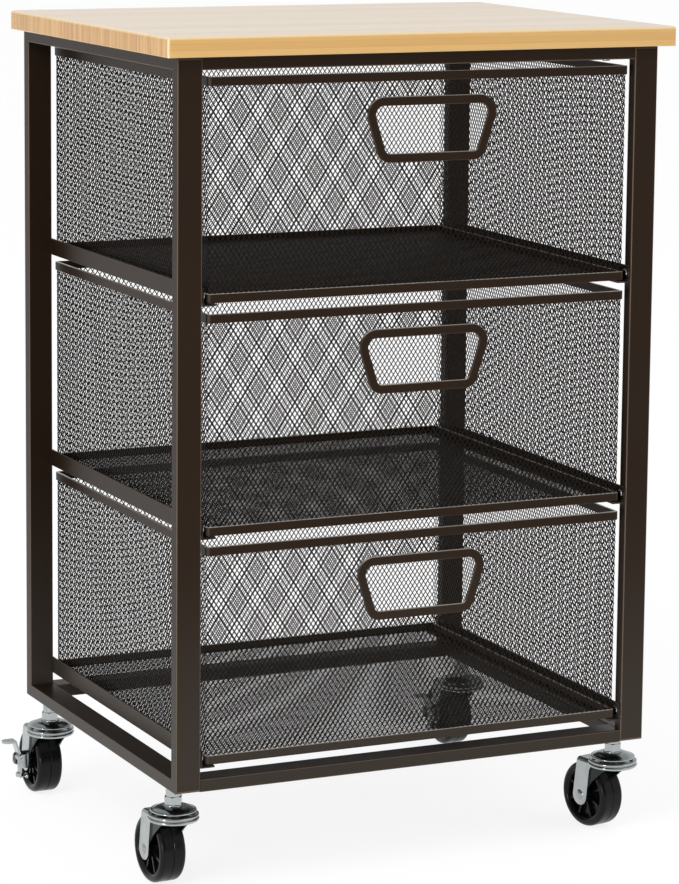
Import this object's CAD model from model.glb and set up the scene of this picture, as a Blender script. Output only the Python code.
import math
import bpy
import numpy as np
from mathutils import Matrix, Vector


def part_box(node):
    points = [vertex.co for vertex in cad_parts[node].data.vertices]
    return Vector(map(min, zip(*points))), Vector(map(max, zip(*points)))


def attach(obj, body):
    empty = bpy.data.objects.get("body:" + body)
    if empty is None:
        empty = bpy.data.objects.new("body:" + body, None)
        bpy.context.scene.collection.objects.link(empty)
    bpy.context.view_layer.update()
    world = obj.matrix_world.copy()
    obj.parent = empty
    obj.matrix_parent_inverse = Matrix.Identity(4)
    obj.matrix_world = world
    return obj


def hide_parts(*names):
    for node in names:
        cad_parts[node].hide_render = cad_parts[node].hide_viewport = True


# Rolling drawer cart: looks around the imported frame. Metres, floor at z = 0, front towards -y.

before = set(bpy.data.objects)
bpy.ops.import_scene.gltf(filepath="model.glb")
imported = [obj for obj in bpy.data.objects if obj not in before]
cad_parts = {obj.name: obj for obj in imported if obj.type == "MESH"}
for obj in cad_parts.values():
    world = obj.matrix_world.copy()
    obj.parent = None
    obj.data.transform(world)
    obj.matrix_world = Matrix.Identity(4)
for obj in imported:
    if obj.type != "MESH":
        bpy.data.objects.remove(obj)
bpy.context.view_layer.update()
mm = 0.001
levels = ["lower", "middle", "upper"]
corners = ["front_left", "front_right", "rear_left", "rear_right"]
upright = np.array([0, 0, 1.0])


def boxOf(node):  # lowest and highest corner of a CAD node, as arrays
    lo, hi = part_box(node)
    return np.array(lo), np.array(hi)


def middleOf(node):
    lo, hi = boxOf(node)
    return (lo + hi) / 2


def stand(thing, right, up, look, place):  # puts a camera or lamp in its place, looking that way
    m = Matrix.Identity(4)
    for row in range(3):
        m[row][:] = right[row], up[row], -look[row], place[row]
    thing.matrix_world = m


# camera
cameraSet = {
    "place": (-1.09923, -2.37527, 0.7787),
    "yaw": -25.14,  # degrees, 0 looks along +y
    "pitch": -8.86,
    "roll": 0.55,
    "lens": 142.16,
    "sensor": 36,
    "shiftY": -0.1154,
    "nearest": 0.05,
    "farthest": 200,
}


def makeCamera(s):
    yaw, pitch, roll = (math.radians(s[k]) for k in ("yaw", "pitch", "roll"))
    level = math.cos(pitch)
    look = np.array([-math.sin(yaw) * level, math.cos(yaw) * level, math.sin(pitch)])
    right = np.array([math.cos(yaw), math.sin(yaw), 0.0])
    up = np.cross(right, look)
    data = bpy.data.cameras.new("camera")
    data.sensor_width = s["sensor"]
    data.lens = s["lens"]
    data.shift_y = s["shiftY"]
    data.clip_start, data.clip_end = s["nearest"], s["farthest"]
    cam = bpy.data.objects.new("camera", data)
    bpy.context.scene.collection.objects.link(cam)
    stand(cam, math.cos(roll) * right + math.sin(roll) * up,
          math.cos(roll) * up - math.sin(roll) * right, look, s["place"])
    bpy.context.scene.camera = cam


makeCamera(cameraSet)
print("camera placed")


# shader maths
class Wire:  # one output socket that can be used in sums
    def __init__(self, shop, socket):
        self.shop, self.socket = shop, socket

    def op(self, name, *others):
        return self.shop.maths(name, self, *others)

    def __add__(self, o): return self.op("ADD", o)
    def __radd__(self, o): return self.op("ADD", o)
    def __sub__(self, o): return self.op("SUBTRACT", o)
    def __rsub__(self, o): return self.shop.maths("SUBTRACT", o, self)
    def __mul__(self, o): return self.op("MULTIPLY", o)
    def __rmul__(self, o): return self.op("MULTIPLY", o)
    def __truediv__(self, o): return self.op("DIVIDE", o)
    def __rtruediv__(self, o): return self.shop.maths("DIVIDE", o, self)
    def __pow__(self, o): return self.op("POWER", o)
    def above(self, o): return self.op("GREATER_THAN", o)
    def larger(self, o): return self.op("MAXIMUM", o)
    def size(self): return self.op("ABSOLUTE")
    def whole(self): return self.op("FLOOR")
    def part(self): return self.op("FRACT")


class Shop:  # makes the nodes of one tree
    def __init__(self, tree):
        self.tree = tree

    def fill(self, node, sockets):
        for key, value in sockets.items():
            target = node.inputs[key]
            if isinstance(value, Wire):
                self.tree.links.new(value.socket, target)
            elif target.type == "RGBA":
                target.default_value = (*value, 1)
            else:
                target.default_value = value

    def node(self, kind, settings=None, sockets=None, out=0):
        made = self.tree.nodes.new(kind)
        for key, value in (settings or {}).items():
            setattr(made, key, value)
        self.fill(made, sockets or {})
        return Wire(self, made.outputs[out] if made.outputs else None)

    def maths(self, name, *values):
        return self.node("ShaderNodeMath", {"operation": name}, dict(enumerate(values)))

    def between(self, value, start, end):  # rises smoothly from 0 at start to 1 at end
        return self.node("ShaderNodeMapRange", {"interpolation_type": "SMOOTHSTEP"},
                         {0: value, 1: start, 2: end})


class Finish(Shop):  # a material and the nodes that feed its surface shader
    def __init__(self, name, **fixed):
        self.mat = bpy.data.materials.new(name)
        self.mat.use_nodes = True
        super().__init__(self.mat.node_tree)
        self.feed(**fixed)

    def feed(self, **values):
        surface = self.tree.nodes["Principled BSDF"]
        self.fill(surface, {key.replace("_", " "): value for key, value in values.items()})

    def place(self):  # object coordinates
        return self.node("ShaderNodeTexCoord", out="Object")

    def facing(self):  # x, y and z of the surface's direction, in the object's own axes
        return self.axes(self.node("ShaderNodeTexCoord", out="Normal"))

    def axes(self, vector):
        first = self.node("ShaderNodeSeparateXYZ", None, {0: vector})
        return [Wire(self, out) for out in first.socket.node.outputs]

    def flatness(self, facing):  # sum of sixth powers: 1 on flats, a quarter at 45 degrees
        return sum(way.size() ** 6 for way in facing)

    def noise(self, vector, scale, detail=2.0, rough=0.5):  # scale is one number, or one per axis
        if isinstance(scale, tuple):
            vector = self.node("ShaderNodeMapping", None, {"Vector": vector, "Scale": scale})
            scale = 1
        return self.node("ShaderNodeTexNoise", None,
                         {"Vector": vector, "Scale": scale, "Detail": detail, "Roughness": rough})

    def rowTone(self, row):  # a random tone that stays the same along one row
        return self.node("ShaderNodeTexWhiteNoise", {"noise_dimensions": "1D"}, {"W": row}, "Value")

    def mix(self, factor, a, b):
        return self.node("ShaderNodeMix", {"data_type": "RGBA"}, {0: factor, 6: a, 7: b}, 2)

    def bump(self, height, strength, distance):
        return self.node("ShaderNodeBump", None,
                         {"Height": height, "Strength": strength, "Distance": distance})


# finishes: each noise is given as its scale, detail and roughness
coatSet = {
    "dark": (0.0150, 0.0082, 0.0044),
    "light": (0.0245, 0.0145, 0.0086),
    "cloud": (9, 3),
    "speck": (420, 2, 0.7),
    "cloudShare": 0.7,
    "sheen": (1.0, 0.84, 0.70),  # warm tint of the shine
    "rough": 0.36,
    "roughSpread": 0.1,
    "specular": 0.13,
    "topGloss": 0.0,  # shine where the coat faces up
    "topGlossRough": 0.14,
    "topGlossFrom": (0.2, 0.85),  # upward part of the direction, from none to full
    "topTone": (0.018, 0.012, 0.008),
    "topToneFrom": (0.35, 0.9),
    "lowTone": (0.043, 0.035, 0.029),  # paler and greyer towards the floor
    "lowToneFrom": (0.27, 0.07),  # heights, from none to full
    "edgeTone": (0.16, 0.122, 0.092),  # where a round edge catches the light
    "edgeToneFrom": (0.95, 0.4),  # flatness, from none to full
    "edgeShare": 0.8,
    "peel": (1500, 1),  # orange peel
    "peelStrength": 0.25,
    "peelDepth": 0.08 * mm,
}
rimCoatSet = dict(coatSet, topTone=(0.34, 0.30, 0.26), topGloss=0.8, edgeTone=(0.07, 0.053, 0.04))


def coatFinish(name, s):
    f = Finish(name, Specular_IOR_Level=s["specular"], Specular_Tint=s["sheen"],
               Coat_Roughness=s["topGlossRough"])
    here, facing = f.place(), f.facing()
    height, upward = f.axes(here)[2], facing[2]
    cloud, speck = f.noise(here, *s["cloud"]), f.noise(here, *s["speck"])
    blend = cloud * s["cloudShare"] + speck * (1 - s["cloudShare"])
    colour = f.mix(blend, s["dark"], s["light"])
    colour = f.mix(f.between(height, *s["lowToneFrom"]), colour, s["lowTone"])
    edge = f.between(f.flatness(facing), *s["edgeToneFrom"]) * s["edgeShare"]
    colour = f.mix(edge, colour, s["edgeTone"])
    f.feed(Base_Color=f.mix(f.between(upward, *s["topToneFrom"]), colour, s["topTone"]),
           Roughness=s["rough"] + (speck - 0.5) * s["roughSpread"],
           Coat_Weight=f.between(upward, *s["topGlossFrom"]) * s["topGloss"],
           Normal=f.bump(f.noise(here, *s["peel"]), s["peelStrength"], s["peelDepth"]))
    return f.mat


netCoatSet = {
    "dark": (0.0045, 0.0034, 0.0026),
    "light": (0.009, 0.0066, 0.005),
    "speck": (500, 2, 0.7),
    "sheen": (1.0, 0.86, 0.74),
    "rough": 0.42,
    "roughSpread": 0.1,
    "specular": 0.12,
}


def netCoatFinish(s):  # the same coat on the thin strands, where it looks darker
    f = Finish("net_coat", Specular_IOR_Level=s["specular"], Specular_Tint=s["sheen"])
    speck = f.noise(f.place(), *s["speck"])
    f.feed(Base_Color=f.mix(speck, s["dark"], s["light"]),
           Roughness=s["rough"] + speck * s["roughSpread"])
    return f.mat


bambooSet = {
    "top": ((0.77, 0.56, 0.33), (0.88, 0.70, 0.47)),  # darkest and lightest tone
    "topFrom": (0.55, 0.9),  # upward part of the direction, from none to full
    "strip": 20 * mm,
    "stripShare": 0.55,  # the rest of the tone is grain
    "wave": ((2.2, 40, 40), 2),
    "waveShare": 0.03,
    "seam": (0.42, 0.24, 0.09),
    "seamHalf": 0.01,  # half its width, as a share of a strip
    "seamShare": 0.35,
    "edge": ((0.56, 0.29, 0.075), (0.81, 0.51, 0.18)),
    "plies": 3,
    "plyStart": 7.3,  # picks the plies' random tones
    "plyShare": 0.4,
    "plySeam": (0.45, 0.25, 0.09),
    "plySeamHalf": 0.03,
    "plySeamShare": 0.35,
    "end": ((0.40, 0.18, 0.045), (0.80, 0.47, 0.15)),
    "endFrom": (-0.2, 0.2),  # sideways less forward part of the direction, from none to full
    "endStrip": 2.9 * mm,
    "endShare": 0.5,
    "sway": ((30, 90, 30), 2),
    "swayShare": 1.6,
    "fibre": ((40, 2400, 60), 3, 0.7),
    "split": ((30, 330, 20), 1),
    "splitAbove": 0.68,
    "splitTone": (0.42, 0.17, 0.05),
    "splitShare": 0.55,
    "endSeam": (0.3, 0.15, 0.05),
    "endSeamShare": 0.12,
    "sanded": (0.95, 0.80, 0.52),  # round edges
    "sandedFrom": (0.9, 0.3),  # flatness, from none to full
    "sandedShare": 0.45,
    "grain": ((12, 900, 900), 4, 0.6),
    "fine": ((40, 2600, 2600), 2, 0.6),
    "grainShare": 0.6,
    "rough": 0.13,
    "roughSpread": 0.1,
    "specular": 0.6,
    "grainStrength": 0.12,
    "grainDepth": 0.12 * mm,
}


def bambooFinish(s):
    f = Finish("laminated_bamboo", Specular_IOR_Level=s["specular"])
    here, facing = f.place(), f.facing()
    _, y, z = f.axes(here)
    (_, y0, z0), (_, _, z1) = (corner.tolist() for corner in boxOf("bamboo_top"))

    def seam(row, half):  # 1 near the whole numbers
        return (row.part() - 0.5).size().above(0.5 - half)

    def blend(tone, grain, share, tones):
        return f.mix(tone * share + grain * (1 - share), *tones)

    # grain: long thin noise along x
    grain, fine = f.noise(here, *s["grain"]), f.noise(here, *s["fine"])
    streak = grain * s["grainShare"] + fine * (1 - s["grainShare"])
    # strips along the top, each with its own tone
    strip = (y - y0) / s["strip"] + f.noise(here, *s["wave"]) * s["waveShare"]
    top = blend(f.rowTone(strip.whole()), streak, s["stripShare"], s["top"])
    top = f.mix(seam(strip, s["seamHalf"]) * s["seamShare"], top, s["seam"])
    # plies along the front and rear edges
    ply = (z - z0) / (z1 - z0) * s["plies"]
    plySeam = seam(ply, s["plySeamHalf"])
    edge = blend(f.rowTone(ply.whole() + s["plyStart"]), streak, s["plyShare"], s["edge"])
    edge = f.mix(plySeam * s["plySeamShare"], edge, s["plySeam"])
    # the ends: narrow upright strips in mixed tans, with long upright fibres
    upstrip = (y - y0) / s["endStrip"] + f.noise(here, *s["sway"]) * s["swayShare"]
    end = blend(f.rowTone(upstrip.whole()), f.noise(here, *s["fibre"]), s["endShare"], s["end"])
    split = f.noise(here, *s["split"]).above(s["splitAbove"])
    end = f.mix(split * s["splitShare"], end, s["splitTone"])
    end = f.mix(plySeam * s["endSeamShare"], end, s["endSeam"])
    isEnd = f.between(facing[0].size() - facing[1].size(), *s["endFrom"])
    colour = f.mix(f.between(facing[2], *s["topFrom"]), f.mix(isEnd, edge, end), top)
    sanded = f.between(f.flatness(facing), *s["sandedFrom"]) * s["sandedShare"]
    f.feed(Base_Color=f.mix(sanded, colour, s["sanded"]),
           Roughness=s["rough"] + streak * s["roughSpread"],
           Normal=f.bump(streak, s["grainStrength"], s["grainDepth"]))
    return f.mat


zincSet = {
    "tint": (0.41, 0.46, 0.475),
    "warm": (0.47, 0.475, 0.46),
    "patch": (60, 3),
    "deep": (0.21, 0.235, 0.245),  # facing up, and in clouds
    "deepFrom": (0.3, 0.95),  # upward part of the direction, from none to full
    "deepShare": 0.75,
    "cloud": ((110, 110, 70), 1),
    "cloudMiddle": 0.42,
    "cloudShare": 1.4,
    "fine": (900, 2, 0.7),
    "rough": 0.09,
    "patchRough": 0.08,
    "fineRough": 0.05,
    "fineStrength": 0.15,
    "fineDepth": 0.05 * mm,
}
shadeZincSet = dict(zincSet, tint=(0.030, 0.033, 0.035), warm=(0.045, 0.045, 0.044),
                    deep=(0.02, 0.022, 0.023))
rivetZincSet = dict(zincSet, tint=(0.33, 0.35, 0.36), warm=(0.38, 0.38, 0.37))


def zincFinish(name, s):
    f = Finish(name, Metallic=1.0)
    here = f.place()
    patch, fine = f.noise(here, *s["patch"]), f.noise(here, *s["fine"])
    upward = f.between(f.facing()[2], *s["deepFrom"]) * s["deepShare"]
    cloud = (f.noise(here, *s["cloud"]) - s["cloudMiddle"]) * s["cloudShare"]
    deep = f.between(upward + cloud, 0.0, 1.0)
    f.feed(Base_Color=f.mix(deep, f.mix(patch, s["tint"], s["warm"]), s["deep"]),
           Roughness=s["rough"] + patch * s["patchRough"] + fine * s["fineRough"],
           Normal=f.bump(fine, s["fineStrength"], s["fineDepth"]))
    return f.mat


wheelSet = {
    "dark": (0.003, 0.003, 0.0031),
    "dusty": (0.009, 0.0088, 0.0086),
    "dust": (130, 4, 0.65),
    "dustShare": 0.8,
    "dustRough": 0.12,
    "rough": 0.15,
    "specular": 0.18,
    "scuff": (700, 2, 0.6),
    "scuffStrength": 0.15,
    "scuffDepth": 0.06 * mm,
}


def wheelFinish(s):
    f = Finish("wheel_black", Specular_IOR_Level=s["specular"])
    here = f.place()
    dust = f.noise(here, *s["dust"])
    f.feed(Base_Color=f.mix(dust * s["dustShare"], s["dark"], s["dusty"]),
           Roughness=s["rough"] + dust * s["dustRough"],
           Normal=f.bump(f.noise(here, *s["scuff"]), s["scuffStrength"], s["scuffDepth"]))
    return f.mat


coat = coatFinish("bronze_coat", coatSet)
rimCoat = coatFinish("rim_coat", rimCoatSet)
netCoat = netCoatFinish(netCoatSet)
bamboo = bambooFinish(bambooSet)
zinc = zincFinish("bright_zinc", zincSet)
shadeZinc = zincFinish("shade_zinc", shadeZincSet)
rivetZinc = zincFinish("rivet_zinc", rivetZincSet)
wheelBlack = wheelFinish(wheelSet)
print("finishes made")


# mesh helpers
def makePiece(name, points, quads, material, body, stands=(), normals=None, caps=(),
              flat=False):
    mesh = bpy.data.meshes.new(name)
    faces = np.asarray(quads).tolist() + [list(c) for c in caps]
    mesh.from_pydata(np.asarray(points, float).tolist(), [], faces)
    mesh.materials.append(material)
    isSmooth = np.full(len(faces), not flat)
    isSmooth[len(quads):] = False  # the end caps stay flat
    mesh.polygons.foreach_set("use_smooth", isSmooth)
    mesh.update()
    if normals is not None:
        mesh.normals_split_custom_set_from_vertices(np.asarray(normals, float).tolist())
    piece = bpy.data.objects.new(name, mesh)
    bpy.context.scene.collection.objects.link(piece)
    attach(piece, body)
    if stands:
        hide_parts(*stands)
    return piece


def gridQuads(rows, columns, wrapRows, wrapColumns):  # faces of a grid of rows by columns points
    r = np.arange(rows if wrapRows else rows - 1)
    c = np.arange(columns if wrapColumns else columns - 1)
    r, c = np.meshgrid(r, c, indexing="ij")
    nextR, nextC = (r + 1) % rows, (c + 1) % columns
    ring = [r * columns + c, nextR * columns + c, nextR * columns + nextC, r * columns + nextC]
    return np.stack(ring, -1).reshape(-1, 4)


def roundCorners(width, height, radius, signs, start, steps):
    # a rectangle with round corners: each corner's arc is its centre plus radius times
    # (cos a, sin a), over a quarter turn; also returns the outward vectors
    points, outward = [], []
    for turn, (sx, sy) in enumerate(signs):
        a = start + np.linspace(0, math.pi / 2, steps + 1) + turn * math.pi / 2
        way = np.stack([np.cos(a), np.sin(a)], -1)
        centre = np.array([sx * (width / 2 - radius), sy * (height / 2 - radius)])
        points.append(centre + radius * way)
        outward.append(way)
    return np.concatenate(points), np.concatenate(outward)


def barProfile(width, height, radius, steps=4):  # a flat bar's section
    return roundCorners(width, height, radius, [(1, 1), (-1, 1), (-1, -1), (1, -1)], 0, steps)


def roundedLoop(width, depth, radius, steps=6):  # from above, starting at the front's right end
    signs = [(1, -1), (1, 1), (-1, 1), (-1, -1)]
    return roundCorners(width, depth, radius, signs, -math.pi / 2, steps)


def sweepLoop(path, sideways, upward, profile, outward):
    # each point is the path's point plus u times its sideways vector plus v times the upward one
    def along(uv):
        return uv[None, :, :1] * sideways[:, None] + uv[None, :, 1:] * upward

    return (path[:, None] + along(profile)).reshape(-1, 3), along(outward).reshape(-1, 3)


# drawer rims
rimSet = {"thick": 2.5 * mm, "cornerRadius": 3.5 * mm, "edgeRadius": 0.55 * mm}


def makeRim(node, body, s):
    lo, hi = boxOf(node)
    size, middle = hi - lo, middleOf(node)
    t = s["thick"]
    flat, way = roundedLoop(size[0] - t, size[1] - t, s["cornerRadius"] - t / 2)
    path = np.column_stack([flat + middle[:2], np.full(len(flat), middle[2])])
    sideways = np.column_stack([way, np.zeros(len(way))])
    profile, outward = barProfile(t, size[2], s["edgeRadius"])
    points, normals = sweepLoop(path, sideways, upright, profile, outward)
    quads = gridQuads(len(path), len(profile), True, True)
    makePiece(node + "_bar", points, quads, rimCoat, body, (node,), normals)


for level in levels:
    for rim in ("top_rim", "bottom_rim"):
        makeRim(f"{level}_{rim}", f"{level}_drawer", rimSet)
print("rims made")


# handles
handleSet = {
    "band": 6.5 * mm,
    "topRadius": 13 * mm,
    "lowRadius": 10.5 * mm,
    "lowCentres": 66.5 * mm,  # between the centres of the lower rounds
    "edgeRadius": 0.8 * mm,
    "lowSteps": 12,
    "topSteps": 14,
}


def handleLine(width, height, inset, s):
    # half a trapezoid with round corners, mirrored: two arcs joined by their shared tangent
    top = np.array([width / 2 - s["topRadius"], height / 2 - s["topRadius"]])
    low = np.array([s["lowCentres"] / 2, -height / 2 + s["lowRadius"]])
    topR, lowR = s["topRadius"] - inset, s["lowRadius"] - inset
    step = top - low
    slant = math.atan2(step[1], step[0]) - math.acos((lowR - topR) / np.hypot(*step))
    a = np.concatenate([np.linspace(-math.pi / 2, slant, s["lowSteps"]),
                        np.linspace(slant, math.pi / 2, s["topSteps"])])
    isLow = np.arange(len(a))[:, None] < s["lowSteps"]
    way = np.column_stack([np.cos(a), np.sin(a)])
    half = np.where(isLow, low, top) + np.where(isLow, lowR, topR) * way
    flip = np.array([-1.0, 1.0])
    return np.concatenate([half, half[::-1] * flip]), np.concatenate([way, way[::-1] * flip])


def makeHandle(level, s):
    node = f"{level}_handle"
    lo, hi = boxOf(node)
    size, middle = hi - lo, middleOf(node)
    line, way = handleLine(size[0], size[2], s["band"] / 2, s)
    still = np.zeros(len(line))
    path = np.column_stack([line[:, 0], still, line[:, 1]]) + middle
    sideways = np.column_stack([way[:, 0], still, way[:, 1]])
    profile, outward = barProfile(s["band"], size[1], s["edgeRadius"])
    points, normals = sweepLoop(path, sideways, np.array([0, 1.0, 0]), profile, outward)
    quads = gridQuads(len(path), len(profile), True, True)[:, ::-1]
    makePiece(f"{level}_handle_ring", points, quads, rimCoat, f"{level}_drawer",
              (node,), normals)


for level in levels:
    makeHandle(level, handleSet)
print("handles made")


# expanded mesh
netSet = {
    "cellWide": 4.0 * mm,
    "cellTall": 6.0 * mm,
    "strand": 0.66 * mm,
    "tilt": 0.16 * mm,  # how far a joint leans out of the sheet
    "thick": 0.34 * mm,
    "intoRim": 3.0 * mm,  # how far the walls reach behind the rims
    "intoFloorRim": 2.0 * mm,
    "handInset": 0.55,  # the walls end this share of the handle's band inside its outline
    "roundSteps": 8,
}


def netSheet(columns, rows, halfWide, halfTall, s, wrap=False):
    # joints of the strands lie where column plus row is odd; each has a small diamond of four
    # points, and a strand joins the facing sides of two such diamonds; returns the points in the
    # sheet, their depth, the faces and each face's column
    p, q = np.meshgrid(np.arange(columns + 1), np.arange(rows + 1), indexing="ij")
    isJoint = (p + q) % 2 == 1
    number = np.full(p.shape, -1)
    if wrap:
        isJoint[-1] = False
    number[isJoint] = np.arange(isJoint.sum())
    if wrap:
        number[-1] = number[0]
    diagonal = math.hypot(halfWide, halfTall)
    dx = s["strand"] / 2 * diagonal / halfTall
    dy = s["strand"] / 2 * diagonal / halfWide
    base = np.stack([p[isJoint] * halfWide, q[isJoint] * halfTall], -1)
    corner = np.array([[0, -dy], [dx, 0], [0, dy], [-dx, 0]])  # low, right, top, left
    flat = (base[:, None] + corner).reshape(-1, 2)
    depth = np.tile([-s["tilt"], 0, s["tilt"], 0], len(base))

    def strandsTo(stepQ):  # first points of the joints at a strand's two ends, and its column
        reach = isJoint.copy()
        reach[-1] = False
        reach[:, -1 if stepQ > 0 else 0] = False
        return number[reach] * 4, number[p[reach] + 1, q[reach] + stepQ] * 4, p[reach]

    a, b, risingColumn = strandsTo(1)
    c, d, fallingColumn = strandsTo(-1)
    j = np.arange(len(base)) * 4
    faces = np.concatenate([
        np.stack([a + 1, b, b + 3, a + 2], -1),
        np.stack([c, d + 3, d + 2, c + 1], -1),
        np.stack([j, j + 1, j + 2, j + 3], -1),
    ])
    return flat, depth, faces, np.concatenate([risingColumn, fallingColumn, p[isJoint]])


def makeNet(name, points, faces, drawer, node, s):
    used, back = np.unique(faces, return_inverse=True)
    piece = makePiece(name, points[used], back.reshape(faces.shape), netCoat, drawer,
                      (node,), flat=True)
    m = piece.modifiers.new("thickness", "SOLIDIFY")
    m.thickness = s["thick"]
    m.offset = 0


def insideLoop(spots, loop):  # which spots lie on the inner side of each of the loop's edges
    step = np.roll(loop, -1, 0) - loop
    isEdge = np.hypot(*step.T) > 1e-9
    loop, step = loop[isEdge], step[isEdge]
    gap = spots[:, None] - loop[None]
    return (step[None, :, 0] * gap[..., 1] - step[None, :, 1] * gap[..., 0] > 0).all(1)


def makeWalls(level, s):
    lo, hi = boxOf(f"{level}_top_rim")
    base = boxOf(f"{level}_bottom_rim")[1][2]
    size, middle = hi - lo, (lo + hi) / 2
    t = rimSet["thick"]
    loop, way = roundedLoop(size[0] - t, size[1] - t, rimSet["cornerRadius"] - t / 2,
                            s["roundSteps"])
    loop = np.concatenate([loop, loop[:1]])
    way = np.concatenate([way, way[:1]])
    along = np.concatenate([[0], np.cumsum(np.hypot(*np.diff(loop, axis=0).T))])
    total = along[-1]
    z0, z1 = base - s["intoRim"], lo[2] + s["intoRim"]
    columns = 2 * round(total / s["cellWide"])
    rows = 2 * round((z1 - z0) / s["cellTall"]) + 1
    flat, depth, faces, columnOf = netSheet(columns, rows, total / columns, (z1 - z0) / rows, s,
                                            wrap=True)
    # each point is the loop's point at its run, moved outwards by its depth
    run = flat[:, 0] % total
    spot, out = (np.column_stack([np.interp(run, along, line[:, i]) for i in range(2)])
                 for line in (loop, way))
    out /= np.hypot(*out.T)[:, None]
    points = np.column_stack([spot + middle[:2] + depth[:, None] * out, z0 + flat[:, 1]])
    # the middles of the loop's four rounds split the sheet into its walls
    perRound = s["roundSteps"] + 1
    ends = along[perRound // 2::perRound]
    wall = np.searchsorted(ends, (columnOf + 0.5) * total / columns, side="right")
    isFront = (wall == 0) | (wall == len(ends))
    # the front wall is cut away inside the handle
    handleLo, handleHi = boxOf(f"{level}_handle")
    wide, _, tall = handleHi - handleLo
    ring, _ = handleLine(wide, tall, handleSet["band"] * s["handInset"], handleSet)
    ring = ring + ((handleLo + handleHi) / 2)[[0, 2]]
    isCut = insideLoop(points[faces].mean(1)[:, [0, 2]], ring)
    for name, node, mask in (("front", "front_mesh", isFront & ~isCut),
                             ("rear", "rear_mesh", wall == 2),
                             ("side", "side_meshes", (wall == 1) | (wall == 3))):
        makeNet(f"{level}_{name}_net", points, faces[mask], f"{level}_drawer", f"{level}_{node}", s)


def makeFloor(level, s):
    node = f"{level}_floor_mesh"
    lo, hi = boxOf(node)
    size, middle = hi - lo + 2 * s["intoFloorRim"], middleOf(node)
    columns = 2 * round(size[0] / s["cellWide"])
    rows = 2 * round(size[1] / s["cellTall"])
    flat, depth, faces, _ = netSheet(columns, rows, size[0] / columns, size[1] / rows, s)
    points = np.column_stack([flat - size[:2] / 2, depth]) + middle
    makeNet(f"{level}_floor_net", points, faces, f"{level}_drawer", node, s)


for level in levels:
    makeWalls(level, netSet)
    makeFloor(level, netSet)
print("expanded mesh made")


# runners
runnerSet = {"thick": 1.5 * mm, "edgeRadius": 0.4 * mm, "roundPoints": 4}


def makeRunner(side, level, s):
    # an angle section carried along y: the flange stands at the post, the foot reaches inwards;
    # each corner of its outline has u, v and the outward directions of its two sides
    node = f"{level}_{side}_runner"
    lo, hi = boxOf(node)
    wide, _, tall = hi - lo
    t, r = s["thick"], s["edgeRadius"]
    outline = [(0, 0, -1, -1), (wide, 0, 1, -1), (wide, t, 1, 1), (t + r, t, 0, 1),
               (t, t + r, 1, 0), (t, tall, 1, 1), (0, tall, -1, 1)]
    points, outward = [], []
    for u, v, wx, wy in outline:
        if wx and wy:
            start = math.atan2(wy, wx) - math.pi / 4
            a = np.linspace(start, start + math.pi / 2, s["roundPoints"])
            way = np.column_stack([np.cos(a), np.sin(a)])
            points.append(np.array([u - wx * r, v - wy * r]) + r * way)
        else:
            way = np.array([[float(wx), float(wy)]])
            points.append(np.array([[u, v]]))
        outward.append(way)
    profile, outward = np.concatenate(points), np.concatenate(outward)
    isLeft = side == "left"
    x = lo[0] + profile[:, 0] if isLeft else hi[0] - profile[:, 0]
    n = len(x)
    ends = [np.column_stack([x, np.full(n, y), lo[2] + profile[:, 1]]) for y in (lo[1], hi[1])]
    normal = np.column_stack([outward[:, 0] * (1 if isLeft else -1), np.zeros(n), outward[:, 1]])
    quads = gridQuads(2, n, False, True)
    caps = [np.arange(n), np.arange(n)[::-1] + n]
    if not isLeft:
        quads = quads[:, ::-1]
        caps = [c[::-1] for c in caps]
    makePiece(node + "_angle", np.concatenate(ends), quads, coat, "frame", (node,),
              np.concatenate([normal, normal]), caps)


for level in levels:
    for side in ("left", "right"):
        makeRunner(side, level, runnerSet)
print("runners made")


# casters: the dark sloping edge of each fork leg, turned in under the raceway
cheekSet = {
    "inside": 10.6 * mm,  # from the caster's middle plane
    "thick": 1.1 * mm,
    "plateLow": 51.8 * mm,  # underside of the raceway's plate
    "intoPlate": 0.4 * mm,
    # the slope's corners in mm: behind the stem, and up from the plate
    "slope": ((-8.0, 0.0), (-1.5, -4.4), (4.5, -9.2), (9.5, -13.6), (13.0, -18.0), (15.2, -22.5)),
    "behind": 18 * mm,
}


def makeCheeks(corner, s):
    # a flat outline of y and z, carried through the sheet's thickness on both sides of the wheel
    stem, axle = middleOf(f"{corner}_stem"), middleOf(f"{corner}_axle")
    back = (axle - stem) * [1, 1, 0]
    back /= np.linalg.norm(back)
    aside = np.cross(back, upright)
    edge = np.array(s["slope"]) * mm
    outline = np.concatenate([edge, [[s["behind"], edge[-1, 1]], [s["behind"], s["intoPlate"]],
                                     [edge[0, 0], s["intoPlate"]]]])
    sheet = (stem * [1, 1, 0] + outline[:, :1] * back
             + (s["plateLow"] + outline[:, 1:]) * upright)
    n = len(outline)
    points, quads, caps = [], [], []
    depths = s["inside"], s["inside"] + s["thick"]
    for first, sign in ((0, -1), (2 * n, 1)):
        points += [sheet + sign * depth * aside for depth in depths]
        ring = gridQuads(2, n, False, True) + first
        low, high = np.arange(n) + first, np.arange(n) + first + n
        quads.append(ring if sign < 0 else ring[:, ::-1])
        caps += [low, high[::-1]] if sign < 0 else [low[::-1], high]
    makePiece(f"{corner}_cheeks", np.concatenate(points), np.concatenate(quads), shadeZinc,
              f"{corner}_swivel", caps=caps, flat=True)


for corner in corners:
    makeCheeks(corner, cheekSet)
print("fork cheeks made")


# CAD nodes that keep their own shape
def dress(node, material):
    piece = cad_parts[node]
    piece.data.materials.clear()
    piece.data.materials.append(material)


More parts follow.
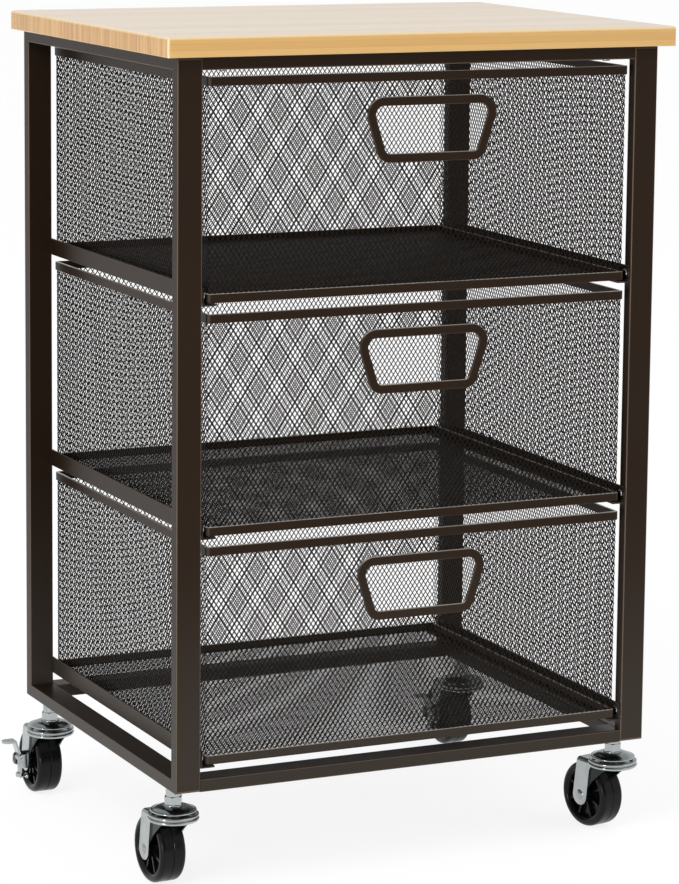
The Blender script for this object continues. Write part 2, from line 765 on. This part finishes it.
dress("bamboo_top", bamboo)
for node in ("left_side_frame", "right_side_frame", "front_top_rail", "rear_top_rail",
             "front_bottom_rail", "rear_bottom_rail"):
    dress(node, coat)
for node in ("board_screws", "runner_screws", "caster_nuts", "rear_left_brake", "rear_right_brake"):
    dress(node, zinc)
for corner in corners:
    for part in ("stem", "cover", "fork"):
        dress(f"{corner}_{part}", zinc)
    dress(f"{corner}_axle", rivetZinc)
    dress(f"{corner}_wheel", wheelBlack)
print("CAD nodes dressed")


# studio
studioSet = {
    "sky": 0.78,  # what lights the object; seen directly it is white
    "flag": 0.22,  # the dark screen that shiny parts mirror, in front of the object
    "flagWay": (-0.35, -0.92, 0.16),
    "flagEdge": (0.55, 0.82),  # cosine from its middle, from none to full
    "floorSize": 60.0,
    "floorColour": (0.86, 0.86, 0.86),
    "floorWhite": 0.74,  # share of plain white in the floor for rays that see it
    "floorGlow": 1.14,
    "aim": (0, 0, 0.3),
}
lampSet = {  # the two that aren't mirrored would hide the board's grain
    "key": {"place": (-2.2, -1.6, 2.6), "size": (1.6, 1.6), "power": 48, "mirrored": False},
    "fill": {"place": (2.6, -2.2, 1.6), "size": (1.2, 1.2), "power": 14, "mirrored": False},
    "strip": {"place": (-2.9, -1.5, 0.31), "size": (0.45, 0.56), "power": 15, "mirrored": True},
}


def seenRays(shop):  # 1 for camera, mirrored and transmitted rays
    camera, mirrored, through = (shop.node("ShaderNodeLightPath", out=f"Is {kind} Ray")
                                 for kind in ("Camera", "Glossy", "Transmission"))
    return camera.larger(mirrored).larger(through)


def makeSky(s):
    world = bpy.data.worlds.new("studio")
    bpy.context.scene.world = world
    world.use_nodes = True
    shop = Shop(world.node_tree)
    shop.tree.nodes.clear()
    way = shop.node("ShaderNodeTexCoord", out="Generated")
    across = shop.node("ShaderNodeVectorMath", {"operation": "DOT_PRODUCT"},
                       {0: way, 1: s["flagWay"]}, "Value")
    screen = 1 - shop.between(across, *s["flagEdge"]) * (1 - s["flag"])
    direct = screen + shop.node("ShaderNodeLightPath", out="Is Camera Ray") * (1 - screen)
    level = s["sky"] + seenRays(shop) * (direct - s["sky"])
    shine = shop.node("ShaderNodeBackground", None, {"Strength": level})
    shop.node("ShaderNodeOutputWorld", None, {"Surface": shine})


def makeGround(s):
    half = s["floorSize"] / 2
    mesh = bpy.data.meshes.new("floor")
    ends = [(-half, -half, 0), (half, -half, 0), (half, half, 0), (-half, half, 0)]
    mesh.from_pydata(ends, [], [(0, 1, 2, 3)])
    floor = bpy.data.objects.new("floor", mesh)
    bpy.context.scene.collection.objects.link(floor)
    mat = bpy.data.materials.new("floor_white")
    mat.use_nodes = True
    shop = Shop(mat.node_tree)
    shop.tree.nodes.clear()
    matt = shop.node("ShaderNodeBsdfDiffuse", None, {"Color": s["floorColour"]})
    glow = shop.node("ShaderNodeEmission", None, {"Strength": s["floorGlow"]})
    both = shop.node("ShaderNodeMixShader", None,
                     {0: seenRays(shop) * s["floorWhite"], 1: matt, 2: glow})
    shop.node("ShaderNodeOutputMaterial", None, {"Surface": both})
    mesh.materials.append(mat)


def makeLamp(name, s, aim):
    lamp = bpy.data.lights.new(name, "AREA")
    lamp.shape = "RECTANGLE"
    lamp.size, lamp.size_y = s["size"]
    lamp.energy = s["power"]
    holder = bpy.data.objects.new(name, lamp)
    bpy.context.scene.collection.objects.link(holder)
    holder.visible_glossy = s["mirrored"]
    look = np.array(aim) - np.array(s["place"])
    look = look / np.linalg.norm(look)
    right = np.cross(look, upright)
    right /= np.linalg.norm(right)
    stand(holder, right, np.cross(right, look), look, s["place"])


bpy.context.scene.view_settings.view_transform = "Standard"
makeSky(studioSet)
makeGround(studioSet)
for name, lamp in lampSet.items():
    makeLamp(name, lamp, studioSet["aim"])
print("studio lit")
